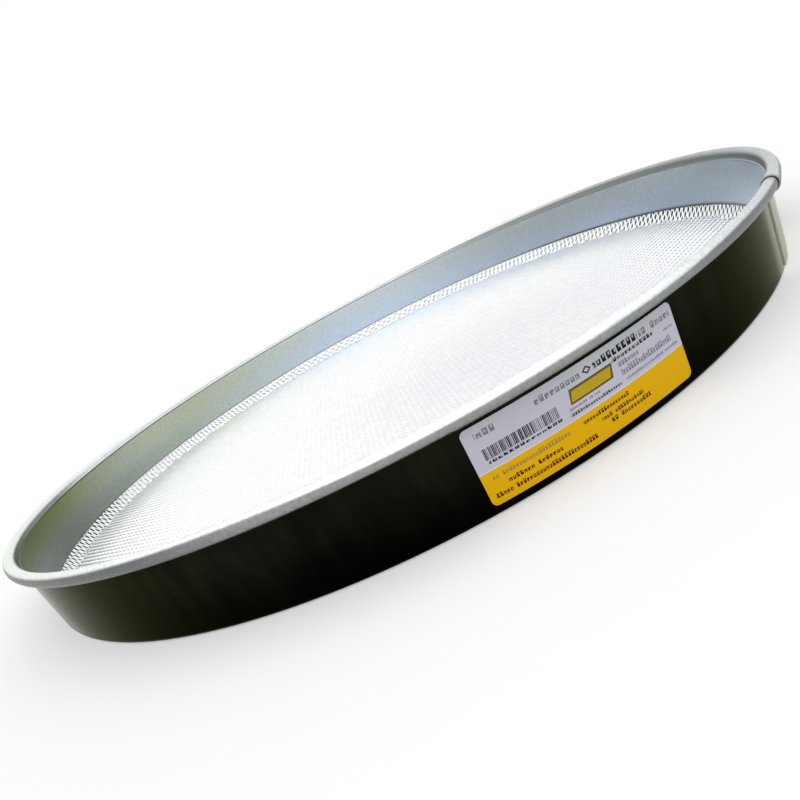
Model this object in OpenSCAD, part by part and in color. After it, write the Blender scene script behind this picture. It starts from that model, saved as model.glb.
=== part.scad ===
// Round sieve. A strip-steel hoop has its top edge rolled outwards over a wire and its foot
// turned in as a flat lip. A disc of expanded metal lies on the lip. Its border is pressed up
// into the corner, and its edge stands between the hoop and an inner band that pinches it.
// Millimetres, +Z up, with the origin at the middle of the foot.

/* [Hoop] */
// Diameter over the rolled rim
rim_d = 560; // [300:5:700]
// Height from the foot to the top of the rolled rim
hoop_h = 48; // [44:1:90]
// Thickness of the hoop's sheet
sheet_t = 0.7; // [0.5:0.05:1]
// How much smaller the wall's radius is at the foot than at the rim
wall_taper = 2.7; // [0:0.1:6]
// Outside radius of the bend at the foot
foot_bend_r = 2.5; // [1.5:0.25:4]
// Reach of the turned-in lip under the flat screen
lip_reach = 3.5; // [2:0.5:12]

/* [Rolled rim] */
// Diameter of the wire inside the roll
wire_d = 5.2; // [3:0.1:8]
// Clearance between the wire and the roll
wire_gap = 0.2; // [0.1:0.05:0.4]
// Slit between the roll's edge and the wall
roll_slit = 0.1; // [0.05:0.05:0.4]
// Gap between the wire's two ends
wire_end_gap = 2; // [0.5:0.5:6]

/* [Seam] */
// Direction of the seam, counted from the right-hand side
seam_angle = -42; // [-180:1:180]
// Length of the lap along the rim
lap_len = 16; // [8:1:30]
// Clearance at the mouth of the roll that takes the other end
mouth_gap = 0.35; // [0.1:0.05:0.6]

/* [Inner band] */
// Thickness of the inner band
band_t = 0.6; // [0.4:0.05:1]
// Height of the band's lower edge above the foot
band_low_z = 9.8; // [8:0.2:16]
// Drop from the top of the rim to the band's upper edge
band_drop = 5.5; // [5:0.25:12]
// Gap between the band's two ends
band_end_gap = 1; // [0.5:0.25:4]
// Direction of that gap, counted from the right-hand side
band_joint_angle = -125; // [-180:1:180]

/* [Screen] */
// Thickness of the expanded metal
mesh_t = 0.8; // [0.5:0.05:1.2]
// Long way of a real diamond, centre to centre
long_way = 8; // [6:0.5:16]
// Short way of a real diamond, centre to centre
short_way = 6; // [4:0.5:10]
// Width of a real strand
strand_w = 1.5; // [0.6:0.05:1.9]
// Length of the bond where two real strands meet
bond_l = 2; // [1:0.1:3]
// The drawn net is coarser: real diamonds that one drawn diamond spans, each way
net_step = 6; // [6:1:12]
// Distance from the wall's outside at the foot to the flat screen
border_w = 5.5; // [4:0.25:9]
// Height of the screen's edge behind the inner band
edge_h = 10; // [5:0.5:16]
// Clearance on each side of the screen's edge, between the bands
seat_gap = 0.05; // [0.02:0.01:0.1]
// Open line between the band's lower edge and the screen's border
line_gap = 0.8; // [0.4:0.1:2]
// Ring of the drawn net that is left whole beside the border
whole_w = 2.5; // [1:0.5:8]

/* [Label] */
// Width of the label along the wall
label_w = 102; // [40:1:140]
// Bare wall between the bend at the foot and the label
label_low_gap = 1.8; // [1:0.1:8]
// Bare wall between the label and the level of the roll's underside
label_top_gap = 2.7; // [1:0.1:8]
// Thickness of the label
label_t = 0.15; // [0.1:0.05:0.4]
// Thickness of the glue under it
glue_t = 0.1; // [0.05:0.05:0.3]
// Radius of the label's corners
label_corner_r = 2.5; // [1:0.5:7]
// Direction of the label's middle, counted from the right-hand side
label_angle = -77.1; // [-180:0.1:180]

/* [Hidden] */
$fn = 96;
// Overrun of every cut
overrun = 1;
// Depth to which a lapped layer runs into the sheet it lies on
bite = sheet_t / 2;
// Step at the flush end of the flared mouth
flush_step = 0.15;

// The roll and its centre
roll_r = wire_d / 2 + wire_gap + sheet_t;
roll_cr = rim_d / 2 - roll_r;
roll_cz = hoop_h - roll_r;

// The wall's outside radius at the roll's centre, at the foot and between them
wall_top_r = roll_cr - roll_r + sheet_t;
foot_r = wall_top_r - wall_taper;
function wall_r(z) = foot_r + wall_taper * (z - foot_bend_r) / (roll_cz - foot_bend_r);

// Underside of the roll where a second layer on the wall meets it
lap_top_z = roll_cz - sqrt(pow(roll_r, 2) - pow(roll_r - 2 * sheet_t, 2)) + bite;
lap_angle = lap_len / roll_cr * 180 / PI;

// The screen: its flat disc, and the radii of its edge at a height
flat_r = foot_r - border_w;
flat_top_z = sheet_t + mesh_t;
border_top_z = band_low_z - line_gap;
edge_top_z = band_low_z + edge_h;
function edge_out_r(z) = wall_r(z) - sheet_t - seat_gap;
function edge_in_r(z) = edge_out_r(z) - mesh_t;

// The inner band
band_top_z = hoop_h - band_drop;
function band_out_r(z) = edge_in_r(z) - seat_gap;

// The drawn net
drawn_long = long_way * net_step;
drawn_short = short_way * net_step;
gap_half_long = (long_way - bond_l) / 2 * net_step;
gap_half_flat = bond_l / 2 * net_step;
gap_half_short = (short_way / 2 - strand_w) * net_step;
net_r = flat_r - whole_w;
cols = ceil(net_r / drawn_long);
rows = ceil(net_r / drawn_short);

// The label's edges, and its chord across the wall
label_low_z = foot_bend_r + label_low_gap;
label_high_z = hoop_h - 2 * roll_r - label_top_gap;
label_h = label_high_z - label_low_z;
label_mid_r = wall_r(label_low_z + label_h / 2);
label_chord = 2 * label_mid_r * sin(label_w / 2 / label_mid_r * 180 / PI);

// Section of the rolled rim, open between its edge and the wall
module roll_section() {
    difference() {
        translate([roll_cr, roll_cz]) difference() {
            circle(r = roll_r);
            circle(r = roll_r - sheet_t);
        }
        translate([wall_top_r - sheet_t - overrun, roll_cz - roll_r - overrun])
            square([overrun + sheet_t + roll_slit, roll_r + overrun]);
    }
}

// Section of the wall, from the bend at the foot to the roll
module wall_section() {
    polygon([
        [foot_r - sheet_t, foot_bend_r],
        [foot_r, foot_bend_r],
        [wall_top_r, roll_cz],
        [wall_top_r - sheet_t, roll_cz]
    ]);
}

// Section of the bend and the lip that the screen lies on
module foot_section() {
    intersection() {
        translate([foot_r - foot_bend_r, foot_bend_r]) difference() {
            circle(r = foot_bend_r);
            circle(r = foot_bend_r - sheet_t);
        }
        translate([foot_r - foot_bend_r, 0]) square([foot_bend_r + overrun, foot_bend_r]);
    }
    translate([flat_r - lip_reach, 0])
        square([foot_r - foot_bend_r - flat_r + lip_reach, sheet_t]);
}

// Outer end of the strip, lying on the wall past the seam
module wall_lap() {
    rotate([0, 0, seam_angle]) rotate_extrude(angle = lap_angle) polygon([
        [wall_r(foot_bend_r) - bite, foot_bend_r],
        [wall_r(foot_bend_r) + sheet_t, foot_bend_r],
        [wall_r(lap_top_z) + sheet_t, lap_top_z],
        [wall_r(lap_top_z) - bite, lap_top_z]
    ]);
}

// Flared mouth of the roll, which takes the rolled other end of the strip
module roll_mouth() {
    rotate([0, 0, seam_angle + lap_angle / 2]) translate([roll_cr, 0, roll_cz]) difference() {
        translate([0, -lap_len / 2, 0]) rotate([-90, 0, 0])
            cylinder(r1 = roll_r + mouth_gap + sheet_t, r2 = roll_r + flush_step, h = lap_len);
        translate([0, -lap_len / 2 - overrun, 0]) rotate([-90, 0, 0]) cylinder(
            r1 = roll_r + mouth_gap + (mouth_gap + bite) * overrun / lap_len,
            r2 = roll_r - bite - (mouth_gap + bite) * overrun / lap_len,
            h = lap_len + 2 * overrun
        );
        translate([-2 * roll_r, -lap_len, -2 * roll_r])
            cube([roll_r + sheet_t, 2 * lap_len, 2 * roll_r]);
    }
}

module outer_band() {
    color([0.44, 0.46, 0.43]) {
        rotate_extrude() {
            roll_section();
            wall_section();
            foot_section();
        }
        wall_lap();
        roll_mouth();
    }
}

module rim_wire() {
    end_angle = wire_end_gap / roll_cr * 180 / PI;
    color([0.5, 0.5, 0.52]) rotate([0, 0, seam_angle + lap_angle + end_angle])
        rotate_extrude(angle = 360 - end_angle) translate([roll_cr, roll_cz]) circle(d = wire_d);
}

// Strip with its top edge turned out against the hoop
module inner_band() {
    end_angle = band_end_gap / foot_r * 180 / PI;
    color([0.56, 0.59, 0.58]) rotate([0, 0, band_joint_angle + end_angle / 2])
        rotate_extrude(angle = 360 - end_angle) polygon([
            [band_out_r(band_low_z) - band_t, band_low_z],
            [band_out_r(band_low_z), band_low_z],
            [band_out_r(band_top_z - band_t), band_top_z - band_t],
            [edge_out_r(band_top_z - band_t), band_top_z - band_t],
            [edge_out_r(band_top_z), band_top_z],
            [band_out_r(band_top_z) - band_t, band_top_z]
        ]);
}

// Outlines of the gaps of the drawn net, cut off at the border
module net_gaps() {
    intersection() {
        circle(r = net_r);
        for (col = [-cols : cols], row = [-rows : rows], shift = [0, 0.5]) {
            x = (col + shift) * drawn_long;
            y = (row + shift) * drawn_short;
            if (norm([x, y]) < net_r) translate([x, y]) polygon([
                [gap_half_long, 0],
                [gap_half_flat, gap_half_short],
                [-gap_half_flat, gap_half_short],
                [-gap_half_long, 0],
                [-gap_half_flat, -gap_half_short],
                [gap_half_flat, -gap_half_short]
            ]);
        }
    }
}

module mesh_screen() {
    color([0.78, 0.8, 0.82]) {
        translate([0, 0, sheet_t]) linear_extrude(height = mesh_t) difference() {
            circle(r = flat_r);
            net_gaps();
        }
        rotate_extrude() polygon([
            [flat_r - whole_w / 2, sheet_t],
            [flat_r + mesh_t / 2, sheet_t],
            [edge_out_r(border_top_z), border_top_z],
            [edge_out_r(edge_top_z), edge_top_z],
            [edge_in_r(edge_top_z), edge_top_z],
            [edge_in_r(border_top_z), border_top_z],
            [flat_r, flat_top_z],
            [flat_r - whole_w / 2, flat_top_z]
        ]);
    }
}

// Outline of the label, flat, standing on its lower edge
module label_outline() {
    inner_w = label_chord - 2 * label_corner_r;
    inner_h = label_h - 2 * label_corner_r;
    translate([-inner_w / 2, 0]) square([inner_w, label_h]);
    translate([-label_chord / 2, label_corner_r]) square([label_chord, inner_h]);
    for (x = [-inner_w / 2, inner_w / 2], y = [label_corner_r, label_corner_r + inner_h])
        translate([x, y]) circle(r = label_corner_r);
}

module label() {
    low_r = wall_r(label_low_z) + glue_t;
    high_r = wall_r(label_high_z) + glue_t;
    color([0.93, 0.78, 0.25]) intersection() {
        rotate_extrude() polygon([
            [low_r, label_low_z],
            [low_r + label_t, label_low_z],
            [high_r + label_t, label_high_z],
            [high_r, label_high_z]
        ]);
        rotate([0, 0, label_angle]) translate([0, 0, label_low_z]) rotate([90, 0, 90])
            linear_extrude(height = rim_d) label_outline();
    }
}

outer_band();
rim_wire();
inner_band();
mesh_screen();
label();
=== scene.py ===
"""Round sieve: a rolled-rim steel hoop, an inner band, an expanded-metal screen and a label.

Every size is in metres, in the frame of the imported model, with the foot's middle at the origin.
"""

import math

import bmesh
import bpy
from bpy.props import FloatProperty, FloatVectorProperty, IntProperty, PointerProperty
from mathutils import Matrix, Quaternion, Vector


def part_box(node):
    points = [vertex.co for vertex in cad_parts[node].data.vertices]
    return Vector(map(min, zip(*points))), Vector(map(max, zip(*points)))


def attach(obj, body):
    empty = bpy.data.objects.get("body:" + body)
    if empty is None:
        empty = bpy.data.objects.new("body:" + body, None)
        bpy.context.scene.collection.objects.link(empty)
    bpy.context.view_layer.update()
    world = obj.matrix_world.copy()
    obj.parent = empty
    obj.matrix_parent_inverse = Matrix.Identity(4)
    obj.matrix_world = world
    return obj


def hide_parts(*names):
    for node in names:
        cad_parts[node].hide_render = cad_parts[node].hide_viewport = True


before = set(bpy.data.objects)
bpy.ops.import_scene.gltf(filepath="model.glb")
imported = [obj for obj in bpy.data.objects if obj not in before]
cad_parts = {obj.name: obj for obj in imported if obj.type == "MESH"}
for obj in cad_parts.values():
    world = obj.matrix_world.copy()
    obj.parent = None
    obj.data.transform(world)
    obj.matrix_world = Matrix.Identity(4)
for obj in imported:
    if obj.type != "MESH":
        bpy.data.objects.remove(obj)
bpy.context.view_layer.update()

bl_info = {
    "name": "Round Sieve",
    "version": (1, 0, 0),
    "blender": (4, 5, 0),
    "location": "View3D > Sidebar > Sieve",
    "description": "Builds a round sieve with a rolled rim, an expanded-metal screen and a label",
    "category": "Object",
}

BODY = "root"


def reach(node):
    """Least and greatest distance of a CAD node's corners from the sieve's axis."""
    radii = [math.hypot(v.co.x, v.co.y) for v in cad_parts[node].data.vertices]
    return min(radii), max(radii)


WIRE_LOW, WIRE_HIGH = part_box("rim_wire")
WIRE_RADIUS = (WIRE_HIGH.z - WIRE_LOW.z) / 2
ROLL_HEIGHT = (WIRE_HIGH.z + WIRE_LOW.z) / 2
ROLL_CENTRE = reach("rim_wire")[1] - WIRE_RADIUS
LIP_EDGE = reach("outer_band")[0]
BAND_LOW, BAND_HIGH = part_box("inner_band")
SCREEN_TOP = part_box("mesh_screen")[1].z
LABEL_LOW, LABEL_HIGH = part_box("label")


# Properties


def length(name, description, default, **limits):
    """A length property in metres."""
    return FloatProperty(
        name=name, description=description, default=default,
        subtype="DISTANCE", unit="LENGTH", precision=5, **limits,
    )


def angle(name, description, degrees):
    """An angle property, written in degrees."""
    return FloatProperty(
        name=name, description=description, default=math.radians(degrees),
        subtype="ANGLE", unit="ROTATION",
    )


def colour(name, description, default):
    """A colour property, linear light."""
    return FloatVectorProperty(
        name=name, description=description, default=default,
        subtype="COLOR", size=3, min=0, max=1,
    )


def share(name, description, default, most=1.0):
    """A plain number from nothing to most."""
    return FloatProperty(
        name=name, description=description, default=default,
        subtype="FACTOR", min=0, max=most,
    )


class SieveHoopSizes(bpy.types.PropertyGroup):
    """Sizes and colours of the outer hoop"""

    sheet: length("Sheet", "Thickness of the hoop's sheet", 0.0007, min=0.0003)
    foot_radius: length("Foot radius", "Outside of the wall at the top of the foot bend", 0.271)
    foot_bend: length("Foot bend", "Outside radius of the bend at the foot", 0.0025)
    roll_gap: length("Roll gap", "Clearance between the wire and the roll", 0.0002)
    seam: angle("Seam", "Direction of the strip's outer end", -42.0)
    lap: length("Lap", "Length of the lap along the rim", 0.016)
    mouth_gap: length("Mouth gap", "Clearance at the mouth of the flared roll", 0.00035)
    weld: length("Weld", "Radius of a spot weld's dimple", 0.0026)
    weld_depth: length("Weld depth", "Depth of a spot weld's dimple", 0.00012)
    waviness: length("Waviness", "Greatest swing of the wall out of round", 0.00012)
    columns: IntProperty(name="Columns", description="Steps round the hoop", default=284, min=90)
    rows: IntProperty(name="Rows", description="Steps up the wall", default=42, min=10)
    dark_side: colour("Dark side", "Colour of the strip's outer side", (0.0032, 0.0036, 0.0026))
    dark_glance: colour("Dark glance", "Tint of the dark side at a flat angle", (0.60, 0.62, 0.54))
    bright_side: colour("Bright side", "Colour of the strip's zinc side", (0.548, 0.573, 0.58))
    # Painted light and shade of the roll: a painted highlight on its top, painted shade on its outer
    # lower half, painted brightness on its inner lower half, and painted shade towards its right end
    roll_painted_highlight: share("Roll gleam", "Brightness of the roll's top", 1.62, 2.0)
    roll_painted_shade: share("Roll dull", "Brightness of the roll's outer lower half", 0.56, 2.0)
    roll_inside_painted_light: share("Roll inside", "Brightness of the roll's inner lower half", 1.55, 2.0)
    roll_right_painted_shade: share("Roll fade", "Brightness left at the roll's right end", 0.50)
    # Painted light in the corner behind the screen's border
    corner_painted_light: share("Corner light", "Brightness behind the screen's border", 2.0, 2.0)
    # Painted reflection: the pale colour of the dark side beside the seam
    seam_painted_reflection: colour("Seam bloom", "Colour of the dark side beside the seam", (0.62, 0.64, 0.47))


class SieveBandSizes(bpy.types.PropertyGroup):
    """Sizes and colours of the inner band"""

    sheet: length("Sheet", "Thickness of the band", 0.0006, min=0.0003)
    behind: length("Behind", "From the wall's outside to the band's middle layer", 0.0019)
    turned_out: length("Turned out", "From the wall's outside to the end of the band's top", 0.00078)
    bend: length("Bend", "Radius of the turned-out top", 0.0006)
    joint: angle("Joint", "Direction of the gap between the band's ends", -125.0)
    gap: length("Gap", "Gap between the band's ends", 0.001)
    metal: colour("Metal", "Colour of the band", (0.61, 0.70, 0.785))


class SieveScreenSizes(bpy.types.PropertyGroup):
    """Sizes and colours of the expanded-metal screen"""

    long_way: length("Long way", "Diamond, centre to centre, the long way", 0.008)
    short_way: length("Short way", "Diamond, centre to centre, the short way", 0.006)
    strand: length("Strand", "Width of a strand", 0.0015)
    bond: length("Bond", "Length of the bond between two strands", 0.002)
    sheet: length("Sheet", "Thickness of the metal", 0.0004)
    rise: length("Rise", "Height of a strand's edge above the middle layer", 0.00036)
    pressed: share("Pressed", "Share of the rise that is left between the two bands", 0.45)
    lip_top: length("Lip top", "Height of the lip that the screen lies on", 0.0007)
    corner_radius: length("Corner radius", "Radius of the first bend of the border", 0.002)
    top_radius: length("Top radius", "Radius of the second bend of the border", 0.003)
    border_top: length("Border top", "Height at which the border meets the wall", 0.009)
    behind: length("Behind", "From the wall's outside to the screen's edge", 0.00115)
    border_slope: angle("Border slope", "Slope of the border", 60.0)
    metal: colour("Metal", "Colour of the screen", (0.93, 0.945, 0.955))


class SieveLabelSizes(bpy.types.PropertyGroup):
    """Sizes and colours of the label"""

    width: length("Width", "Width along the wall", 0.102)
    film: length("Film", "Thickness of the film", 0.00013)
    glue: length("Glue", "Thickness of the glue", 0.0001)
    corner: length("Corner", "Radius of the corners", 0.0025)
    direction: angle("Direction", "Direction of the label's middle", -77.1)
    split: share("Split", "Share of the height that is yellow", 0.423)
    paper: colour("Paper", "Colour of the upper part", (0.68, 0.665, 0.79))
    yellow: colour("Yellow", "Colour of the lower part", (0.94, 0.53, 0.0))
    ink: colour("Ink", "Colour of the dark print", (0.010, 0.010, 0.009))
    brown_ink: colour("Brown ink", "Colour of the print on the yellow field", (0.075, 0.018, 0.001))
    pale_ink: colour("Pale ink", "Colour of the grey print", (0.14, 0.14, 0.17))


class SieveStageSizes(bpy.types.PropertyGroup):
    """Camera, light and floor"""

    distance: length("Distance", "Camera to the middle of the foot", 0.519896)
    elevation: angle("Elevation", "Camera above the floor", 13.6046)
    yaw: angle("Yaw", "Turn of the camera to its left", 0.50658)
    pitch: angle("Pitch", "Turn of the camera upwards", -1.45090)
    roll: angle("Roll", "Turn of the camera about its line of sight", 28.0641)
    lens: FloatProperty(
        name="Lens", description="Focal length on a 36 mm sensor", default=30.3316,
        subtype="DISTANCE_CAMERA", unit="CAMERA",
    )
    key_height: angle("Key height", "Key light above the floor", 76.0)
    key_side: angle("Key side", "Direction that the key light comes from", -98.0)
    key_spread: angle("Key spread", "Width of the key light as seen from the sieve", 100.0)
    key_light: share("Key light", "Strength of the key light", 1.0, 10.0)
    room_light: share("Room light", "Strength of the even light from all round", 0.66, 2.0)
    floor_size: length("Floor size", "Side of the floor", 40.0)
    floor: colour("Floor", "Colour of the floor", (0.68, 0.68, 0.68))
    floor_white: share("Floor white", "White added where the floor is seen", 0.36)


def wall_radius(hoop, z):
    """Radius of the wall's outside at a height."""
    top = ROLL_CENTRE - WIRE_RADIUS - hoop.roll_gap
    slope = (top - hoop.foot_radius) / (ROLL_HEIGHT - hoop.foot_bend)
    return hoop.foot_radius + (z - hoop.foot_bend) * slope


def smooth(low, high, x):
    """Nought at low, one at high, with a soft start and end."""
    t = min(1.0, max(0.0, (x - low) / (high - low)))
    return t * t * (3 - 2 * t)


# Shader helpers


def fill(tree, node, inputs):
    """Gives a node's inputs, by name or number, their plain values or their links."""
    for key, value in inputs.items():
        if isinstance(value, bpy.types.NodeSocket):
            tree.links.new(value, node.inputs[key])
        else:
            node.inputs[key].default_value = value
    return node


def add(tree, kind, inputs=None, **settings):
    """A new shader node with its settings and its inputs."""
    node = tree.nodes.new("ShaderNode" + kind)
    for key, value in settings.items():
        setattr(node, key, value)
    return fill(tree, node, inputs or {})


def maths(tree, operation, *values):
    """A Math node's result."""
    return add(tree, "Math", dict(enumerate(values)), operation=operation).outputs[0]


def times(tree, first, *others):
    """The product of two or more values."""
    for other in others:
        first = maths(tree, "MULTIPLY", first, other)
    return first


def spread(tree, value, low, high, to_low=0.0, to_high=1.0):
    """A value from one range carried to another, smoothly."""
    node = add(tree, "MapRange", {0: value, 1: low, 2: high, 3: to_low, 4: to_high},
               interpolation_type="SMOOTHSTEP", clamp=False)
    return node.outputs[0]


def blend(tree, factor, first, second, mode="MIX"):
    """A colour mix's result."""
    node = add(tree, "Mix", data_type="RGBA", blend_type=mode)
    sockets = {0: factor}
    for index, tone in ((6, first), (7, second)):
        linked = isinstance(tone, bpy.types.NodeSocket)
        sockets[index] = tone if linked else (*tone, 1.0)
    return fill(tree, node, sockets).outputs[2]


def scaled(tone, by):
    """A colour with each of its parts times a number."""
    return tuple(part * by for part in tone)


def brightened(tree, tone, by):
    """A colour made brighter or darker by a value."""
    grey = add(tree, "CombineColor", {0: by, 1: by, 2: by}).outputs[0]
    return blend(tree, 1.0, tone, grey, "MULTIPLY")


def axes(tree, vector):
    """The three parts of a vector."""
    return add(tree, "SeparateXYZ", {0: vector}).outputs[:]


def bump(tree, height, strength, distance):
    """A Bump node's normal."""
    return add(tree, "Bump", {
        "Height": height, "Strength": strength, "Distance": distance}).outputs[0]


def directly_seen(tree):
    """One for rays from the camera, off a mirror or through glass, and nought for soft light."""
    path = add(tree, "LightPath").outputs
    return maths(tree, "MAXIMUM", path["Is Camera Ray"], maths(
        tree, "MAXIMUM", path["Is Glossy Ray"], path["Is Transmission Ray"]))


def new_group(name, inputs, outputs):
    """An empty shader node group: a vector and named numbers go in, named numbers come out.

    Returns its tree, what goes in, by name, and the node that takes what comes out.
    """
    tree = bpy.data.node_groups.new(name, "ShaderNodeTree")
    tree.interface.new_socket("Vector", in_out="INPUT", socket_type="NodeSocketVector")
    for names, way in ((inputs, "INPUT"), (outputs, "OUTPUT")):
        for label in names:
            tree.interface.new_socket(label, in_out=way, socket_type="NodeSocketFloat")
    given = tree.nodes.new("NodeGroupInput").outputs
    return tree, given, tree.nodes.new("NodeGroupOutput")


def placed(tree, group, **inputs):
    """The outputs of a group that is placed in a tree with its own values."""
    return add(tree, "Group", inputs, node_tree=bpy.data.node_groups[group]).outputs


def make_rolled_grain():
    """Fine lines along the strip, as the mill leaves them."""
    tree, given, last = new_group("rolled_grain", ("Round", "Up", "Roughness"), ("Tone",))
    scale = add(tree, "CombineXYZ", {0: given["Round"], 1: given["Round"], 2: given["Up"]})
    stretched = add(tree, "VectorMath", {
        0: given["Vector"], 1: scale.outputs[0]}, operation="MULTIPLY")
    noise = add(tree, "TexNoise", {"Vector": stretched.outputs[0], "Scale": 1.0,
                                   "Detail": 4.0, "Roughness": given["Roughness"]})
    fill(tree, last, {"Tone": noise.outputs[0]})


def grain(tree, place, around, up, roughness=0.6):
    """The tone of lines along the strip, from their number in a metre around it and up it."""
    return placed(tree, "rolled_grain", Vector=place, Round=around, Up=up,
                  Roughness=roughness)[0]


def make_mottle():
    """Soft cloudy patches, a little warped."""
    tree, given, last = new_group("mottle", ("Count", "Low", "High"), ("Mask",))
    noise = add(tree, "TexNoise", {"Vector": given["Vector"], "Scale": given["Count"],
                                   "Detail": 5.0, "Roughness": 0.55, "Distortion": 0.4})
    fill(tree, last, {"Mask": spread(tree, noise.outputs[0], given["Low"], given["High"])})


def mottle(tree, place, count, low, high):
    """A mask of cloudy patches, from their number in a metre and the noise's two limits."""
    return placed(tree, "mottle", Vector=place, Count=count, Low=low, High=high)[0]


def make_print_block():
    """A rectangle on the label, between shares of its width and height, leaning if told to."""
    tree, given, last = new_group(
        "print_block", ("Left", "Right", "Low", "High", "Lean"), ("Mask", "Up"))
    x, y, _ = axes(tree, given["Vector"])
    up = maths(tree, "DIVIDE", maths(tree, "SUBTRACT", y, given["Low"]),
               maths(tree, "SUBTRACT", given["High"], given["Low"]))
    leaning = times(tree, given["Lean"], up)
    start = maths(tree, "SUBTRACT", maths(tree, "SUBTRACT", x, given["Left"]), leaning)
    along = maths(tree, "DIVIDE", start, maths(tree, "SUBTRACT", given["Right"], given["Left"]))
    inside = [maths(tree, test, share_of, end) for share_of in (along, up)
              for test, end in (("GREATER_THAN", 0.0), ("LESS_THAN", 1.0))]
    fill(tree, last, {"Mask": times(tree, *inside), "Up": up})


# How a dash is drawn. Each has a random draw of its own, and others at a step from it.
TALL_DRAW, SHAPE_DRAW = 0.5, 0.25
TALL_FROM, TALL_TO = 0.55, 0.6
# Where the open core of a dash may sit along and up it, and its half sizes
CORE_ALONG = (0.3, 0.7, 0.33, 0.58)
CORE_UP = (0.0, 1.0, 0.18, 0.74)
CORE_HALF_WIDTH, CORE_HALF_HEIGHT = 0.15, 0.19


def make_dashes():
    """A line of plain dashes of uneven size.

    Kept is the share of dashes that are printed, Solid a dash's share of its step, Short the
    height of the low ones, Uneven how much their widths differ and Core how open they are.
    """
    tree, given, last = new_group(
        "dashes", ("Left", "Right", "Low", "High", "Pitch", "Kept", "Seed", "Solid", "Short",
                   "Uneven", "Core"), ("Mask",))
    block = placed(tree, "print_block", **{
        key: given[key] for key in ("Vector", "Left", "Right", "Low", "High")})
    steps = times(tree, axes(tree, given["Vector"])[0], given["Pitch"])
    cell = maths(tree, "ADD", maths(tree, "FLOOR", steps), given["Seed"])

    def draw(at):
        """A random number for each dash."""
        return add(tree, "TexWhiteNoise", {"W": at}, noise_dimensions="1D").outputs[0]

    chance = draw(cell)
    kept = maths(tree, "LESS_THAN", chance, given["Kept"])
    across = maths(tree, "FRACT", steps)
    narrower = times(tree, given["Uneven"], chance)
    width = times(tree, given["Solid"], maths(tree, "SUBTRACT", 1.0, narrower))
    solid = maths(tree, "LESS_THAN", across, width)
    tall = draw(maths(tree, "ADD", cell, TALL_DRAW))
    level = spread(tree, tall, TALL_FROM, TALL_TO, given["Short"], 1.0)
    low_enough = maths(tree, "LESS_THAN", block["Up"], level)
    found = times(tree, kept, solid, low_enough, block["Mask"])
    shape = draw(maths(tree, "ADD", cell, SHAPE_DRAW))
    opening = times(
        tree,
        maths(tree, "COMPARE", across, spread(tree, shape, *CORE_ALONG), CORE_HALF_WIDTH),
        maths(tree, "COMPARE", block["Up"], spread(tree, tall, *CORE_UP), CORE_HALF_HEIGHT))
    closed = maths(tree, "SUBTRACT", 1.0, times(tree, opening, given["Core"]))
    fill(tree, last, {"Mask": times(tree, found, closed)})


# Materials


def new_material(name):
    """A node material, its tree, its Principled shader and the piece's Object coordinates."""
    material = bpy.data.materials.new(name)
    material.use_nodes = True
    tree = material.node_tree
    place = add(tree, "TexCoord").outputs["Object"]
    return material, tree, tree.nodes["Principled BSDF"], place


# A ramp below is where it starts and ends and, if they aren't nought and one, its values there.
# It is spread out along a place in metres, an angle in degrees or a noise's tone.
GRAIN_SPAN = (0.2, 0.8)

# Zinc. Its tones by direction, painted shade, painted light and painted reflection tints, are in
# degrees away from the darkest one. A loss is painted shade: it goes from one such angle to
# another, and has the share of the brightness that is lost at each.
DARKEST = math.radians(200)
PAINTED_SHADE_BY_SIDE = ((10, 56, 0.62, 0.0), (55, 110, 0.20, 0.0), (115, 168, 0.0, 0.38))
# Painted shade low down on the sides near the darkest, and a little painted light low on the others
FOOT_SIDE, FOOT_HEIGHTS, FOOT_PAINTED_SHADE, FOOT_PAINTED_LIGHT = (40, 75), (0.012, 0.034), 0.28, 0.06
# Painted reflection tints: olive on the sides near the darkest, and green high up nearest it
OLIVE_REFLECTION_SIDE, OLIVE_REFLECTION = (60, 108), (1.04, 1.0, 0.715)
GREEN_REFLECTION_SIDE, GREEN_REFLECTION_HEIGHTS, GREEN_REFLECTION = (44, 10), (0.022, 0.040), (0.93, 1.08, 0.42)
COOL_TO_WARM, COOL, WARM = (0.014, 0.040), (0.98, 1.0, 1.065), (1.04, 1.0, 0.935)
# Painted light high up at the right end, and painted shade low down there
RIGHT_END_PAINTED_LIGHT, RIGHT_END_PAINTED_LIGHT_TONE = (0.245, 0.270), (0.012, 0.046, 0.84, 1.18)
SPECK_TONE, PATCH_STRENGTH, PATCH_SHARE = (0.25, 0.75, 0.85, 1.12), 0.10, 0.80
ZINC_ROUGHNESS = (*GRAIN_SPAN, 0.29, 0.41)
ZINC_BUMP = (0.10, 0.0002)
# How strong these tones, mostly painted light, shade and reflection tints, are on each strip
HOOP_CAST, BAND_CAST = 0.08, 1.0


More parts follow.
